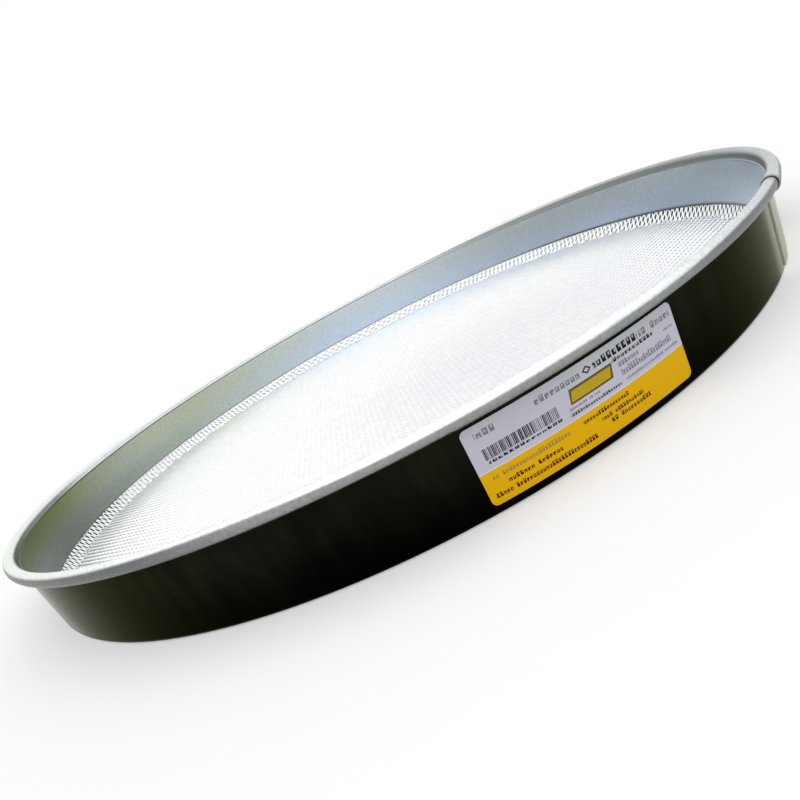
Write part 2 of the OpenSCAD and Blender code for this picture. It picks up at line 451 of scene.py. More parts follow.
def zinc_sheet(name, metal, cast, painted_light):
    """Satin zinc strip: rolling lines, fine grain, and tones by direction and height.

    Cast is the strength of those tones, which are mostly painted shade, painted light and painted
    reflection tints. The last argument takes the tree, the place and the distance from the axis,
    and gives the painted light and shade that belong to this strip's own shape.
    """
    material, tree, shader, place = new_material(name)
    x, y, z = axes(tree, place)
    turned = add(tree, "VectorRotate", {"Vector": place, "Angle": -DARKEST},
                 rotation_type="Z_AXIS").outputs[0]
    ahead, aside, _ = axes(tree, turned)
    off = maths(tree, "ABSOLUTE", maths(tree, "ARCTAN2", aside, ahead))
    around = add(tree, "CombineXYZ", {0: x, 1: y}).outputs[0]
    far = add(tree, "VectorMath", {0: around}, operation="LENGTH").outputs["Value"]

    def by_side(start, end, to_start=0.0, to_end=1.0):
        """A value between two angles away from the darkest direction."""
        return spread(tree, off, math.radians(start), math.radians(end), to_start, to_end)

    def tint(colours):
        """A tint at the strength of the cast."""
        return tuple(1 - cast * (1 - part) for part in colours)

    lines = grain(tree, place, around=14.0, up=700.0)
    specks = grain(tree, place, around=640.0, up=640.0)
    patches = mottle(tree, place, count=13.0, low=0.36, high=0.68)
    # Painted reflection: an olive tint on the sides near the darkest
    olive_reflection = tuple(part * by for part, by in zip(metal, tint(OLIVE_REFLECTION)))
    tone = blend(tree, by_side(*OLIVE_REFLECTION_SIDE), olive_reflection, metal)
    tone = blend(tree, times(tree, patches, PATCH_STRENGTH), tone, scaled(metal, PATCH_SHARE))
    upward = blend(tree, spread(tree, z, *COOL_TO_WARM), tint(COOL), tint(WARM))
    tone = blend(tree, 1.0, tone, upward, "MULTIPLY")
    # Painted reflection: a green tint high up nearest the darkest side
    green_reflection = times(tree, by_side(*GREEN_REFLECTION_SIDE), spread(tree, z, *GREEN_REFLECTION_HEIGHTS))
    tone = blend(tree, green_reflection, tone, tint(GREEN_REFLECTION), "MULTIPLY")
    # Painted light high up at the right end, and painted shade low down there
    lift = maths(tree, "SUBTRACT", spread(tree, z, *RIGHT_END_PAINTED_LIGHT_TONE), 1.0)
    shade = maths(tree, "MULTIPLY_ADD", spread(tree, x, *RIGHT_END_PAINTED_LIGHT, 0.0, cast), lift, 1.0)
    # Painted shade by direction, deepest towards the darkest side
    for start, end, first_loss, last_loss in PAINTED_SHADE_BY_SIDE:
        shade = times(tree, shade, by_side(start, end, 1 - first_loss * cast, 1 - last_loss * cast))
    # Painted shade low down on the sides near the darkest, a little painted light on the others
    foot = by_side(*FOOT_SIDE, 1 - FOOT_PAINTED_SHADE * cast, 1 + FOOT_PAINTED_LIGHT * cast)
    # Times the painted shade at the foot, the specks and the strip's own painted light and shade
    shade = times(tree, shade, spread(tree, z, *FOOT_HEIGHTS, foot, 1.0),
                  spread(tree, specks, *SPECK_TONE), painted_light(tree, (x, y, z), far))
    fill(tree, shader, {
        "Metallic": 1.0, "Base Color": brightened(tree, tone, shade),
        "Roughness": spread(tree, lines, *ZINC_ROUGHNESS), "Normal": bump(tree, lines, *ZINC_BUMP)})
    return material


# The dark side. Its pale painted reflection starts and ends in degrees past the seam.
BROWNER = (0.0040, 0.0038, 0.0016)
# Painted shade: the dark side is darker towards the foot and paler towards the rim
FOOT_TO_RIM, FOOT_SHADE_GREY, RIM_GREY = (0.002, 0.036), (0.3, 0.3, 0.3), (1.7, 1.7, 1.7)
SEAM_REFLECTION_STARTS, SEAM_REFLECTION_ENDS = (-4.5, 0.5), (24, 8)
STREAK_TONE = (0.34, 0.66, 0.78, 1.14)
DARK_ROUGHNESS = (0.2, 1.6, 0.15, 0.24)
DARK_BUMP = (0.08, 0.0002)


def dark_strip(name, hoop):
    """The strip's near-black outer side: fine-lined, with painted shade towards the foot and paler
    upwards, with streaks up and down and a pale painted reflection beside the seam.
    """
    material, tree, shader, place = new_material(name)
    lines = grain(tree, place, around=9.0, up=420.0, roughness=0.5)
    patches = mottle(tree, place, count=24.0, low=0.40, high=0.78)
    browner = tuple(part + more for part, more in zip(hoop.dark_side, BROWNER))
    tone = blend(tree, patches, hoop.dark_side, browner)
    x, y, z = axes(tree, place)
    # Painted shade: darker towards the foot, paler towards the rim
    upward = blend(tree, spread(tree, z, *FOOT_TO_RIM), FOOT_SHADE_GREY, RIM_GREY)
    tone = blend(tree, 1.0, tone, upward, "MULTIPLY")
    # A pale painted reflection beside the seam
    at = maths(tree, "ARCTAN2", y, x)
    near = times(tree, *[
        spread(tree, at, *[hoop.seam + math.radians(past) for past in pair])
        for pair in (SEAM_REFLECTION_STARTS, SEAM_REFLECTION_ENDS)])
    tone = blend(tree, near, tone, hoop.seam_painted_reflection)
    streaks = grain(tree, place, around=125.0, up=1.5, roughness=0.35)
    tone = brightened(tree, tone, spread(tree, streaks, *STREAK_TONE))
    rough = spread(tree, maths(tree, "ADD", lines, patches), *DARK_ROUGHNESS)
    fill(tree, shader, {
        "Metallic": 1.0, "Specular Tint": (*hoop.dark_glance, 1.0), "Base Color": tone,
        "Roughness": rough, "Normal": bump(tree, lines, *DARK_BUMP)})
    return material


# Bare metals: how dull their lines are, the lines in a metre round and up, and their roughness
CUT_EDGE = {"dull": 0.55, "around": 160.0, "up": 1600.0, "roughness": (0.34, 0.52)}
DRAWN_WIRE = {"dull": 0.7, "around": 8.0, "up": 1400.0, "roughness": (0.26, 0.44)}
HOOP_EDGE_METAL, BAND_EDGE_METAL = (0.55, 0.56, 0.55), (0.50, 0.51, 0.51)
WIRE_METAL = (0.52, 0.52, 0.53)


def lined_metal(name, metal, dull, around, up, roughness):
    """Bare metal with fine lines, for a sheared edge or a drawn wire."""
    material, tree, shader, place = new_material(name)
    lines = grain(tree, place, around, up)
    fill(tree, shader, {
        "Metallic": 1.0,
        "Base Color": blend(tree, lines, scaled(metal, dull), metal),
        "Roughness": spread(tree, lines, *GRAIN_SPAN, *roughness)})
    return material


# The screen's zinc. Its net has a patch of painted shade, a little darker, around one place.
DULL_STRAND_SHARE, CLOUD, CLOUD_STRENGTH = 0.95, (0.80, 0.84, 0.90), 0.12
PAINTED_SHADE_PLACE, PAINTED_SHADE_REACH, PAINTED_SHADE_TONE = (0.10, -0.07, 0.0), (0.19, 0.04, 0.0, 0.34), (0.62, 0.62, 0.66)
STRAND_ROUGHNESS = (0.0, 1.0, 0.32, 0.38)


def expanded_zinc(name, metal):
    """Bright zinc of the screen, with a slight change of tone from strand to strand."""
    material, tree, shader, place = new_material(name)
    strands = mottle(tree, place, count=190.0, low=0.36, high=0.66)
    patches = mottle(tree, place, count=9.0, low=0.35, high=0.65)
    tone = blend(tree, strands, scaled(metal, DULL_STRAND_SHARE), metal)
    tone = blend(tree, times(tree, patches, CLOUD_STRENGTH), tone, CLOUD)
    # A patch of painted shade on the net around one place
    far = add(tree, "VectorMath", {0: place, 1: PAINTED_SHADE_PLACE}, operation="DISTANCE")
    tone = blend(tree, spread(tree, far.outputs["Value"], *PAINTED_SHADE_REACH), tone, PAINTED_SHADE_TONE)
    fill(tree, shader, {
        "Metallic": 1.0, "Base Color": tone,
        "Roughness": spread(tree, strands, *STRAND_ROUGHNESS)})
    return material


# Left, right, low and high as shares of the label, dashes across the whole width, share kept,
# and a draw number. Dark print first, then grey print.
DARK_LINES = (
    (0.570, 0.798, 0.835, 0.925, 39, 1.0, 3), (0.652, 0.872, 0.762, 0.812, 50, 0.92, 11),
    (0.414, 0.660, 0.474, 0.512, 81, 0.92, 5), (0.024, 0.484, 0.078, 0.140, 70, 0.90, 8),
    (0.092, 0.333, 0.190, 0.246, 62, 0.92, 2), (0.446, 0.672, 0.312, 0.366, 71, 0.90, 14),
    (0.526, 0.738, 0.218, 0.268, 71, 0.90, 21), (0.560, 0.768, 0.136, 0.192, 62, 0.90, 6),
    (0.056, 0.378, 0.500, 0.536, 42, 1.0, 25),
)
GREY_LINES = (
    (0.046, 0.130, 0.835, 0.918, 36, 1.0, 1), (0.298, 0.508, 0.835, 0.918, 43, 0.92, 4),
    (0.808, 0.982, 0.835, 0.918, 40, 0.90, 9), (0.672, 0.780, 0.668, 0.730, 65, 0.92, 7),
    (0.676, 0.950, 0.560, 0.640, 73, 1.0, 12), (0.688, 0.980, 0.480, 0.515, 103, 0.92, 16),
    (0.926, 0.980, 0.708, 0.738, 95, 1.0, 18), (0.418, 0.560, 0.545, 0.575, 110, 0.92, 19),
)
PALE_LINE = (0.044, 0.386, 0.300, 0.362, 70, 0.92, 10)
BARS = (0.050, 0.373, 0.552, 0.696, 150, 1.0, 33)
# A dash's share of its step, the height of the low ones, unevenness and openness
LINE_LOOK, BAR_LOOK = (0.76, 0.72, 0.0, 0.75), (0.86, 1.0, 0.78, 0.0)
# The panel, in the same shares, and its inside, and the print's other tones
PANEL, PANEL_INSIDE, PANEL_LEAN = (0.430, 0.636, 0.604, 0.782), (0.438, 0.626, 0.628, 0.752), 0.012
PANEL_RIM, PANEL_FILL, PALE_PRINT = (0.13, 0.11, 0.03), (0.62, 0.42, 0.02), (0.42, 0.30, 0.06)
GREY_STRENGTH = 0.8
# The diamond outline's middle, its half sizes and the share of them that is blank
DIAMOND_MIDDLE, DIAMOND_HALF, DIAMOND_BLANK = (0.541, 0.876), (0.022, 0.048), 0.55
# The pale line between the two fields
DIVIDER_UP, DIVIDER_HALF, DIVIDER = 0.006, 0.008, (0.80, 0.79, 0.84)
# The film: its tone towards the top, its faded patches, gloss, roughness and cockle
TOP_SHARES, FADED_SHARE, TOP_OF_FILM = (0.97, 1.02, 1.05), 0.95, (0.60, 1.0)
FILM_GLOSS, FILM_ROUGHNESS, COCKLE_BUMP = 0.12, (0.0, 1.0, 0.34, 0.46), (0.25, 0.0003)


def label_film(name, label):
    """Printed film: a pale and a yellow field, plain dashes, bars and a blank panel."""
    material, tree, shader, place = new_material(name)
    print_map = add(tree, "UVMap", uv_map="print").outputs[0]
    across, up, _ = axes(tree, print_map)

    def dashes(line, look=LINE_LOOK):
        """The mask of one line of print."""
        keys = ("Left", "Right", "Low", "High", "Pitch", "Kept", "Seed",
                "Solid", "Short", "Uneven", "Core")
        return placed(tree, "dashes", Vector=print_map, **dict(zip(keys, (*line, *look))))[0]

    def either(masks):
        """The mask of whatever any of the masks covers."""
        found = masks[0]
        for mask in masks[1:]:
            found = maths(tree, "MAXIMUM", found, mask)
        return found

    upper = maths(tree, "GREATER_THAN", up, label.split)
    fade = mottle(tree, place, count=22.0, low=0.3, high=0.7)
    top_tone = scaled(TOP_SHARES, label.paper[1])
    paper = blend(tree, spread(tree, up, *TOP_OF_FILM), label.paper, top_tone)
    paper = blend(tree, fade, scaled(label.paper, FADED_SHARE), paper)
    ground = blend(tree, upper, label.yellow, paper)
    divider = maths(tree, "COMPARE", up, label.split + DIVIDER_UP, DIVIDER_HALF)
    ground = blend(tree, divider, ground, DIVIDER)
    ground = blend(tree, dashes(PALE_LINE), ground, PALE_PRINT)
    grey = times(tree, either([dashes(line) for line in GREY_LINES]), GREY_STRENGTH)
    ground = blend(tree, grey, ground, label.pale_ink)
    panels = [placed(tree, "print_block", Vector=print_map, Left=left, Right=right, Low=low,
                     High=high, Lean=PANEL_LEAN)["Mask"]
              for left, right, low, high in (PANEL, PANEL_INSIDE)]
    for mask, tone in zip(panels, (PANEL_RIM, PANEL_FILL)):
        ground = blend(tree, mask, ground, tone)
    shares = []
    for value, middle, half in zip((across, up), DIAMOND_MIDDLE, DIAMOND_HALF):
        aside = maths(tree, "ABSOLUTE", maths(tree, "SUBTRACT", value, middle))
        shares.append(maths(tree, "DIVIDE", aside, half))
    out = maths(tree, "ADD", *shares)
    ring = times(tree, maths(tree, "LESS_THAN", out, 1.0),
                 maths(tree, "GREATER_THAN", out, DIAMOND_BLANK))
    bars = dashes(BARS, BAR_LOOK)
    dark = either([dashes(line) for line in DARK_LINES] + [bars, ring])
    ink = blend(tree, upper, label.brown_ink, label.ink)
    ground = blend(tree, dark, ground, ink)
    fill(tree, shader, {
        "Base Color": ground, "Specular IOR Level": FILM_GLOSS,
        "Roughness": spread(tree, fade, *FILM_ROUGHNESS),
        "Normal": bump(tree, mottle(tree, place, count=60.0, low=0.2, high=0.8),
                       *COCKLE_BUMP)})
    return material


FLECK_SHARE = 0.985


def pale_floor(name, stage):
    """Pale matt floor that keeps shadows and looks white to the eye and in the metal."""
    material, tree, shader, place = new_material(name)
    tree.nodes.remove(shader)
    fleck = mottle(tree, place, count=3.0, low=0.2, high=0.8)
    matt = add(tree, "BsdfDiffuse", {
        0: blend(tree, fleck, scaled(stage.floor, FLECK_SHARE), stage.floor)})
    glow = add(tree, "Emission", {
        "Strength": times(tree, directly_seen(tree), stage.floor_white)})
    both = add(tree, "AddShader", {0: matt.outputs[0], 1: glow.outputs[0]})
    fill(tree, tree.nodes["Material Output"], {"Surface": both.outputs[0]})
    return material


# Mesh helpers


def new_object(name, data):
    """An object in the scene for a mesh, a lamp or a camera."""
    made = bpy.data.objects.new(name, data)
    bpy.context.scene.collection.objects.link(made)
    return made


def mesh_object(bm, name, materials):
    """An object for a bmesh, which is used up."""
    mesh = bpy.data.meshes.new(name)
    bm.to_mesh(mesh)
    bm.free()
    for material in materials:
        mesh.materials.append(material)
    return new_object(name, mesh)


def new_piece(bm, name, materials, nodes):
    """An object for a bmesh, riding on the body and standing for its CAD nodes."""
    piece = mesh_object(bm, name, materials)
    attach(piece, BODY)
    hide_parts(*nodes)
    return piece


def thicken(piece, thickness, sides=(0, 0), offset=0.0, crease=40.0):
    """Gives a sheet its thickness, with its inner and edge materials, and marks sharp edges."""
    solid = piece.modifiers.new("sheet", "SOLIDIFY")
    solid.thickness = thickness
    solid.offset = offset
    solid.use_even_offset = True
    solid.material_offset, solid.material_offset_rim = sides
    graph = bpy.context.evaluated_depsgraph_get()
    mesh = bpy.data.meshes.new_from_object(piece.evaluated_get(graph))
    old, name = piece.data, piece.data.name
    piece.modifiers.clear()
    piece.data = mesh
    bpy.data.meshes.remove(old)
    mesh.name = name
    mesh.polygons.foreach_set("use_smooth", [True] * len(mesh.polygons))
    mesh.set_sharp_from_angle(angle=math.radians(crease))


def arc_on(bm, vert, centre, sweep, steps):
    """Carries a profile on from a vertex, round a centre in the profile's plane."""
    made = bmesh.ops.spin(bm, geom=[vert], cent=centre, axis=(0, 1, 0), angle=sweep, steps=steps)
    return next(g for g in made["geom_last"] if isinstance(g, bmesh.types.BMVert))


def line_on(bm, vert, point, steps=1):
    """Carries a profile on from a vertex in a straight line."""
    start = vert.co.copy()
    for step in range(1, steps + 1):
        vert = bmesh.ops.extrude_vert_indiv(bm, verts=[vert])["verts"][0]
        vert.co = start.lerp(Vector(point), step / steps)
    return vert


def swing(bm, angle):
    """Turns everything about the sieve's axis."""
    bmesh.ops.rotate(bm, verts=bm.verts[:], cent=(0, 0, 0), matrix=Matrix.Rotation(angle, 3, "Z"))


def turn(bm, geom, sweep, steps):
    """Spins a profile about the sieve's axis and returns its far end."""
    made = bmesh.ops.spin(
        bm, geom=geom, cent=(0, 0, 0), axis=(0, 0, 1), angle=sweep, steps=steps, use_merge=False)
    return made["geom_last"]


def move_out(vert, by):
    """Moves a vertex away from the sieve's axis to a number of times its distance."""
    vert.co.x *= by
    vert.co.y *= by


def face_out(bm, height):
    """Turns all the faces so that those of the wall at a height point away from the axis."""
    bmesh.ops.recalc_face_normals(bm, faces=bm.faces[:])
    wall = min(bm.faces, key=lambda f: abs(f.calc_center_median().z - height))
    middle = wall.calc_center_median()
    if wall.normal.dot(Vector((middle.x, middle.y, 0))) < 0:
        bmesh.ops.reverse_faces(bm, faces=bm.faces[:])


# Operators

# Distances below which two places count as one: roughly, closely and exactly
SLACK, TOUCH, MERGE = 1e-5, 1e-6, 1e-7

# The hoop: how far its roll goes round, and the steps of its profile's parts and of its turns
ROLL_SWEEP, ROLL_STEPS, BEND_STEPS, LIP_STEPS = math.radians(329), 32, 8, 2
FINE_ARC, FINE_STEPS, LAP_STEPS = math.radians(5), 34, 8
# The arc past the lap in which the strip runs back into place
JOGGLE = math.radians(1)
# The slot below the lapped roll: its rows of the wall, and the share of the roll, from the
# roll's middle, past which the roll's inner lower part goes too
SLOT_ROWS, SLOT_SHARE = 2, 0.42
# Play left where the flared roll runs back into the roll
FLUSH = 0.00015
# The spot welds: their heights as shares of the wall, their place across the lap, and the share
# of a dimple that is flat
WELD_UP_SHARES, WELD_ACROSS_SHARE, WELD_FLAT_SHARE = (0.24, 0.5, 0.76), 0.55, 0.35
# The wall's waves: how many go round, where they start, their size and their lean up the wall.
# They are full between two heights, and end at the foot's bend and just below the roll's middle.
WAVES = ((7, 0.6, 1.0, 0), (13, 2.1, 0.7, 0), (23, 0.0, 0.5, 90))
WAVES_FROM, WAVES_TO, WAVES_BELOW = 0.012, 0.030, 0.003

# Ramps along x or y, in metres, for the heights and the brightness of the roll's tones: its
# painted highlight on top and its painted light and shade below
RIGHT_HALF = (-0.02, 0.20)
LEFT_LIFT, RIGHT_LIFT = (-0.09, 0.0, 0.0015, 0.0), (0.10, 0.17, 0.0, 0.0011)
LEFT_PAINTED_SHADE, RIGHT_PAINTED_SHADE, RIGHT_PAINTED_SHADE_SHARE = (-0.14, -0.06, 0.54, 1.0), (0.10, 0.16), 0.72
NEAR_INSIDE, RIGHT_INSIDE_SHARE = (-0.15, -0.05, 0.4, 1.0), 0.55
LEFT_END_INSIDE, LEFT_END_DEPTH = (-0.245, -0.200, 0.42, 1.0), (0.0, 0.07)
ROLL_SHADE_TO_RIGHT = (0.05, 0.30)
# The corner behind the screen's border, lit up with painted light but for its ends, which get
# painted shade
CORNER_HEIGHTS, CORNER_ENDS, CORNER_END_TONE = (0.009, 0.012), (0.240, 0.270), 0.2
# Heights from the roll's middle, as shares of its radius: where its painted highlight starts and
# is full outside and inside, how far the inner two move up at the right end, and its tucked-in
# part, which gets painted light
OUTER_PAINTED_HIGHLIGHT, INNER_PAINTED_HIGHLIGHT, INNER_MOVES = (0.1, 0.5), (0.1, 0.7), (0.25, 0.3)
TUCKED, TUCKED_TONE = (-0.7, 0.0), 1.4
# Half the width, as a share of the roll's radius, in which its inside turns into its outside
TURN_SHARE = 0.3


class SIEVE_OT_hoop(bpy.types.Operator):
    """Builds the outer hoop: one strip, lapped at a seam, rolled over the wire at its top"""

    bl_idname = "sieve.hoop"
    bl_label = "Outer hoop"

    def execute(self, context):
        hoop = context.scene.sieve_hoop
        half = hoop.sheet / 2
        roll = WIRE_RADIUS + hoop.roll_gap + half
        lap = hoop.lap / ROLL_CENTRE
        joggle = lap + JOGGLE
        lap_top = ROLL_HEIGHT - SLOT_ROWS * (ROLL_HEIGHT - hoop.foot_bend) / hoop.rows

        # The profile: roll, wall, bend and lip
        bm = bmesh.new()
        start = bm.verts.new((ROLL_CENTRE - roll, 0, ROLL_HEIGHT))
        arc_on(bm, start, (ROLL_CENTRE, 0, ROLL_HEIGHT), ROLL_SWEEP, ROLL_STEPS)
        foot = line_on(bm, start, (hoop.foot_radius - half, 0, hoop.foot_bend), hoop.rows)
        bend = arc_on(bm, foot, (hoop.foot_radius - hoop.foot_bend, 0, hoop.foot_bend),
                      math.pi / 2, BEND_STEPS)
        line_on(bm, bend, (LIP_EDGE, 0, half), LIP_STEPS)
        swing(bm, hoop.seam)

        # The outer end of the strip: notched, set out by one sheet, with its roll flared
        last = turn(bm, bm.verts[:] + bm.edges[:], FINE_ARC, FINE_STEPS)
        self.notch(bm, hoop, lap, lap_top)
        kept = set(bm.verts)
        self.flare(bm, hoop, roll, lap, joggle, lap_top)
        self.weld(bm, hoop, lap)

        # Round to the seam again, and on under the outer end
        last = turn(bm, last, math.tau - FINE_ARC, hoop.columns)
        turn(bm, last, lap, LAP_STEPS)
        bmesh.ops.remove_doubles(bm, verts=[v for v in bm.verts if v not in kept], dist=MERGE)
        self.wave(bm, hoop)
        face_out(bm, ROLL_HEIGHT / 2)

        dark = dark_strip("hoop_dark_side", hoop)
        # The zinc side carries the roll's painted highlight and painted shade, and painted light in
        # the corner behind the screen's border
        bright = zinc_sheet("hoop_zinc_side", hoop.bright_side, HOOP_CAST,
                            self.roll_painted_light(hoop, roll))
        edge = lined_metal("hoop_cut_edge", HOOP_EDGE_METAL, **CUT_EDGE)
        piece = new_piece(bm, "hoop", (dark, bright, edge), ["outer_band"])
        thicken(piece, hoop.sheet, sides=(1, 2))
        return {"FINISHED"}

    def roll_painted_light(self, hoop, roll):
        """Gives what zinc_sheet asks for, all painted light and shade: a painted highlight on the
        roll's top and painted shade on its lower halves, which change from end to end, and painted
        light in the corner behind the screen's border.
        """
        def at_roll(shares):
            """Heights above the roll's middle, from shares of its radius."""
            return [ROLL_HEIGHT + share_up * roll for share_up in shares]

        def light(tree, place, far):
            """The brightness at a place."""
            x, y, z = place
            right = spread(tree, x, *RIGHT_HALF)
            lift = maths(tree, "ADD", spread(tree, x, *LEFT_LIFT), spread(tree, x, *RIGHT_LIFT))
            # Painted shade on the roll's outer lower half, deeper at both ends, under a painted
            # highlight on top
            dull = times(tree, spread(tree, x, *LEFT_PAINTED_SHADE), spread(
                tree, x, *RIGHT_PAINTED_SHADE, hoop.roll_painted_shade, RIGHT_PAINTED_SHADE_SHARE * hoop.roll_painted_shade))
            outer = spread(tree, maths(tree, "SUBTRACT", z, lift), *at_roll(OUTER_PAINTED_HIGHLIGHT),
                           dull, hoop.roll_painted_highlight)
            # Painted light on the roll's inner lower half, less at the right end, with painted shade
            # on the near side and at the left end, and more painted light low down
            inside = times(
                tree,
                spread(tree, right, 0.0, 1.0, hoop.roll_inside_painted_light,
                       RIGHT_INSIDE_SHARE * hoop.roll_inside_painted_light),
                spread(tree, y, *NEAR_INSIDE),
                spread(tree, y, *LEFT_END_DEPTH, spread(tree, x, *LEFT_END_INSIDE), 1.0),
                spread(tree, z, *at_roll(TUCKED), TUCKED_TONE, 1.0))
            # Heights at which the painted highlight on the roll's inside starts and is full, higher
            # at the right
            highlight_heights = [maths(tree, "MULTIPLY_ADD", right, move * roll, height)
                      for move, height in zip(INNER_MOVES, at_roll(INNER_PAINTED_HIGHLIGHT))]
            inner = spread(tree, z, *highlight_heights, inside, hoop.roll_painted_highlight)
            side = spread(tree, far, ROLL_CENTRE - TURN_SHARE * roll,
                          ROLL_CENTRE + TURN_SHARE * roll)
            both = maths(tree, "MULTIPLY_ADD", side, maths(tree, "SUBTRACT", outer, inner), inner)
            # Painted shade towards the right end of the roll
            fade = spread(tree, x, *ROLL_SHADE_TO_RIGHT, 1.0, hoop.roll_right_painted_shade)
            # Painted light in the corner behind the screen's border, with painted shade at its two
            # ends
            corner = spread(tree, maths(tree, "ABSOLUTE", x), *CORNER_ENDS,
                            hoop.corner_painted_light, CORNER_END_TONE)
            return times(tree, both, fade, spread(tree, z, *CORNER_HEIGHTS, corner, 1.0))

        return light

    def past_seam(self, hoop, point):
        """Angle of a point past the strip's outer end."""
        return (math.atan2(point.y, point.x) - hoop.seam + math.pi) % math.tau - math.pi

    def notch(self, bm, hoop, lap, lap_top):
        """Takes the lip, the bend and a slot under the roll out of the lapped end."""
        roll_low = WIRE_RADIUS + hoop.roll_gap
        gone = []
        for face in bm.faces:
            middle = face.calc_center_median()
            out = math.hypot(middle.x, middle.y) - ROLL_CENTRE
            if self.past_seam(hoop, middle) > lap:
                continue
            in_roll = math.hypot(out, middle.z - ROLL_HEIGHT) < roll_low + 2 * hoop.sheet
            under = in_roll and middle.z < ROLL_HEIGHT and out < -SLOT_SHARE * roll_low
            slot = not in_roll and lap_top < middle.z < ROLL_HEIGHT
            if middle.z < hoop.foot_bend or slot or under:
                gone.append(face)
        bmesh.ops.delete(bm, geom=gone, context="FACES")

    def flare(self, bm, hoop, roll, lap, joggle, lap_top):
        """Sets the lapped wall out by one sheet and opens its roll towards its mouth."""
        mouth = roll + hoop.sheet + hoop.mouth_gap
        flush = roll + FLUSH
        for vert in bm.verts:
            past = self.past_seam(hoop, vert.co)
            if past > joggle:
                continue
            radius = math.hypot(vert.co.x, vert.co.y)
            aside, above = radius - ROLL_CENTRE, vert.co.z - ROLL_HEIGHT
            if math.hypot(aside, above) < roll + SLACK:
                along = min(1.0, past / lap)
                wide = mouth + (flush - mouth) * along
                wide += (roll - flush) * smooth(lap, joggle, past)
                aside, above = aside * wide / roll, above * wide / roll
                to_radius = ROLL_CENTRE + aside
                vert.co.z = ROLL_HEIGHT + above
            else:
                out = hoop.sheet * (1 - smooth(lap, joggle, past))
                if past > lap:
                    out *= smooth(hoop.foot_bend, 3 * hoop.foot_bend, vert.co.z)
                    out *= 1 - smooth(lap_top, ROLL_HEIGHT, vert.co.z)
                to_radius = radius + out
            move_out(vert, to_radius / radius)

    def weld(self, bm, hoop, lap):
        """Presses three spot welds into the lap."""
        at = hoop.seam + lap * WELD_ACROSS_SHARE
        out = Vector((math.cos(at), math.sin(at), 0))
        flat = WELD_FLAT_SHARE * hoop.weld
        for up in WELD_UP_SHARES:
            z = hoop.foot_bend + up * (ROLL_HEIGHT - hoop.foot_bend)
            middle = out * (wall_radius(hoop, z) + hoop.sheet / 2) + Vector((0, 0, z))
            for vert in bm.verts:
                far = (vert.co - middle).length
                if far < hoop.weld:
                    vert.co -= out * hoop.weld_depth * (1 - smooth(flat, hoop.weld, far))

    def wave(self, bm, hoop):
        """Lets the wall swing a little out of round between its roll and its foot."""
        most = sum(size for _, _, size, _ in WAVES)
        for vert in bm.verts:
            free = smooth(hoop.foot_bend, WAVES_FROM, vert.co.z)
            free *= 1 - smooth(WAVES_TO, ROLL_HEIGHT - WAVES_BELOW, vert.co.z)
            at = math.atan2(vert.co.y, vert.co.x)
            sway = sum(size * math.sin(count * at + start + lean * vert.co.z)
                       for count, start, size, lean in WAVES)
            move_out(vert, 1 + hoop.waviness / most * sway * free / ROLL_CENTRE)


class SIEVE_OT_wire(bpy.types.Operator):
    """Gives the wire inside the roll its drawn finish"""

    bl_idname = "sieve.wire"
    bl_label = "Rim wire"

    def execute(self, context):
        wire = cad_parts["rim_wire"]
        wire.data.materials.clear()
        wire.data.materials.append(lined_metal("drawn_wire", WIRE_METAL, **DRAWN_WIRE))
        return {"FINISHED"}


# The band: the steps up its profile, of its bend and of its turn
BAND_ROWS, BAND_BEND_STEPS, BAND_COLUMNS = 24, 5, 288
# The painted shadow along its lower edge, where it meets the screen: how far above the edge it
# starts to fade, is gone, and is gone at the right end, and its tone
EDGE_START, EDGE_END, EDGE_END_RIGHT, EDGE_SHADOW_TONE = 0.0003, 0.0009, 0.0031, 0.2
EDGE_RIGHT = (0.14, 0.25)
# The painted shade along its top, under the roll: how far below the top it starts and is full,
# and its tone from left to right
TOP_START, TOP_END, TOP_SHADE_TONE = 0.0013, 0.0004, (0.03, 0.15, 0.22, 0.48)


class SIEVE_OT_band(bpy.types.Operator):
    """Builds the inner band that pinches the screen's edge against the hoop"""

    bl_idname = "sieve.band"
    bl_label = "Inner band"

    def execute(self, context):
        hoop, band = context.scene.sieve_hoop, context.scene.sieve_band
        low, high = BAND_LOW.z, BAND_HIGH.z
        top = high - band.sheet / 2
        gap = band.gap / hoop.foot_radius
        bm = bmesh.new()
        start = bm.verts.new((wall_radius(hoop, low) - band.behind, 0, low))
        bend_from = wall_radius(hoop, top) - band.behind
        wall = line_on(bm, start, (bend_from, 0, top - band.bend), BAND_ROWS)
        end = arc_on(bm, wall, (bend_from + band.bend, 0, top - band.bend), math.pi / 2,
                     BAND_BEND_STEPS)
        line_on(bm, end, (wall_radius(hoop, top) - band.turned_out, 0, top))
        swing(bm, band.joint + gap / 2)
        turn(bm, bm.verts[:] + bm.edges[:], math.tau - gap, BAND_COLUMNS)
        face_out(bm, (low + high) / 2)

        def band_painted_shade(tree, place, far):
            """Painted shadow along the lower edge, wider at the right end, and painted shade along
            the top, less so at the right.
            """
            x, y, z = place
            wide = spread(tree, x, *EDGE_RIGHT, low + EDGE_END, low + EDGE_END_RIGHT)
            top_tone = spread(tree, x, *TOP_SHADE_TONE)
            return times(tree, spread(tree, z, low + EDGE_START, wide, EDGE_SHADOW_TONE, 1.0),
                         spread(tree, z, high - TOP_START, high - TOP_END, 1.0, top_tone))

        # The band's zinc carries a painted shadow along its lower edge and painted shade along its
        # top
        bright = zinc_sheet("band_zinc", band.metal, BAND_CAST, band_painted_shade)
        edge = lined_metal("band_cut_edge", BAND_EDGE_METAL, **CUT_EDGE)
        piece = new_piece(bm, "band", (bright, edge), ["inner_band"])
        thicken(piece, band.sheet, sides=(0, 1))
        return {"FINISHED"}


# The screen: two faces of a strand meet in a sharp edge above this angle, in degrees
SCREEN_CREASE = 8.0


